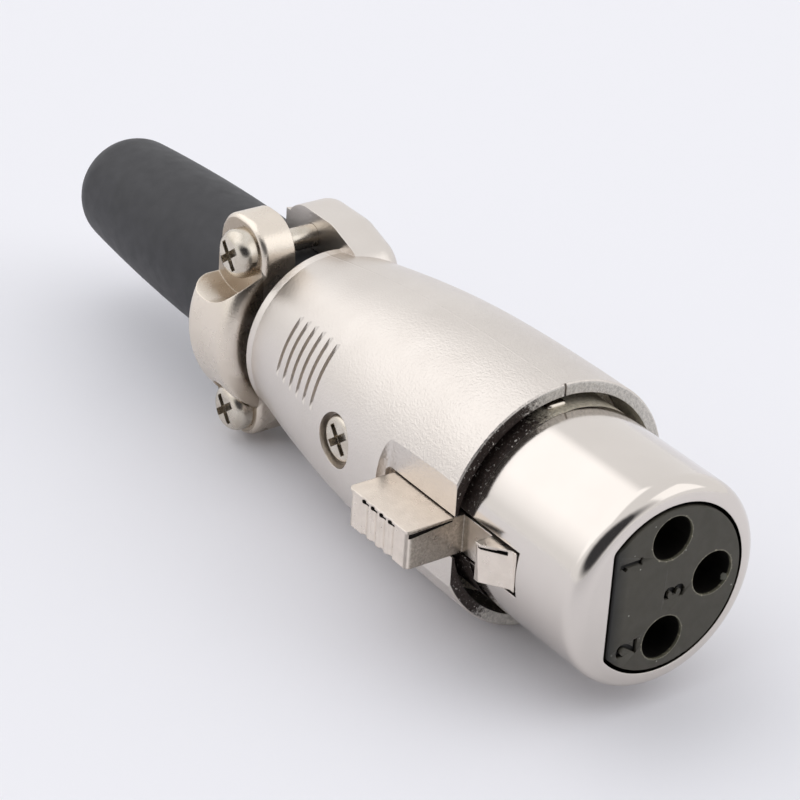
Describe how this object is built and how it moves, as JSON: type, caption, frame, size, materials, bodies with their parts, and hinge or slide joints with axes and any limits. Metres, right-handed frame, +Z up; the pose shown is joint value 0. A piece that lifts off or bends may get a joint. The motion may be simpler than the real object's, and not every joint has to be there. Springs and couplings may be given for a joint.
{
  "type": "xlr cable plug",
  "caption": "Round metal cable plug with socket contacts, a sprung side latch, a clamped rubber boot and a screwed cable clamp.",
  "frame": {"origin": "centre of the mating face, on the plug's axis", "axes": "+X out of the plug towards the mating part, -Y the side of the latch, +Z up as the plug lies"},
  "size_m": [0.0724, 0.022, 0.019],
  "materials": {
    "satin_nickel": "bead blasted nickel plate on a zinc casting",
    "bright_nickel": "polished nickel plate",
    "cast_nickel": "nickel plate on a fine grained casting",
    "olive_plastic": "moulded, dark olive grey",
    "contact_brass": "plated",
    "black_rubber": "matte"
  },
  "bodies": {
    "plug": {"shell": "satin_nickel", "clamp_strap": "satin_nickel", "clamp_screws": "bright_nickel", "insert_screw": "bright_nickel", "nose_barrel": "bright_nickel", "latch_pivot_pin": "bright_nickel", "latch_spring": "bright_nickel", "insert": "olive_plastic", "contact_retainer": "olive_plastic", "contact_1": "contact_brass", "contact_2": "contact_brass", "contact_3": "contact_brass", "boot": "black_rubber"},
    "latch": {"latch_lever": "cast_nickel"}
  },
  "joints": [
    {"name": "latch_press", "type": "hinge", "parent": "plug", "child": "latch", "pos_m": [-0.0226, -0.0055, 0], "axis": [0, 0, 1], "range_deg": [0, 5], "stiffness_Nm_per_rad": 0.12, "springref_deg": -6.88, "deforming": ["latch_spring"]}
  ]
}
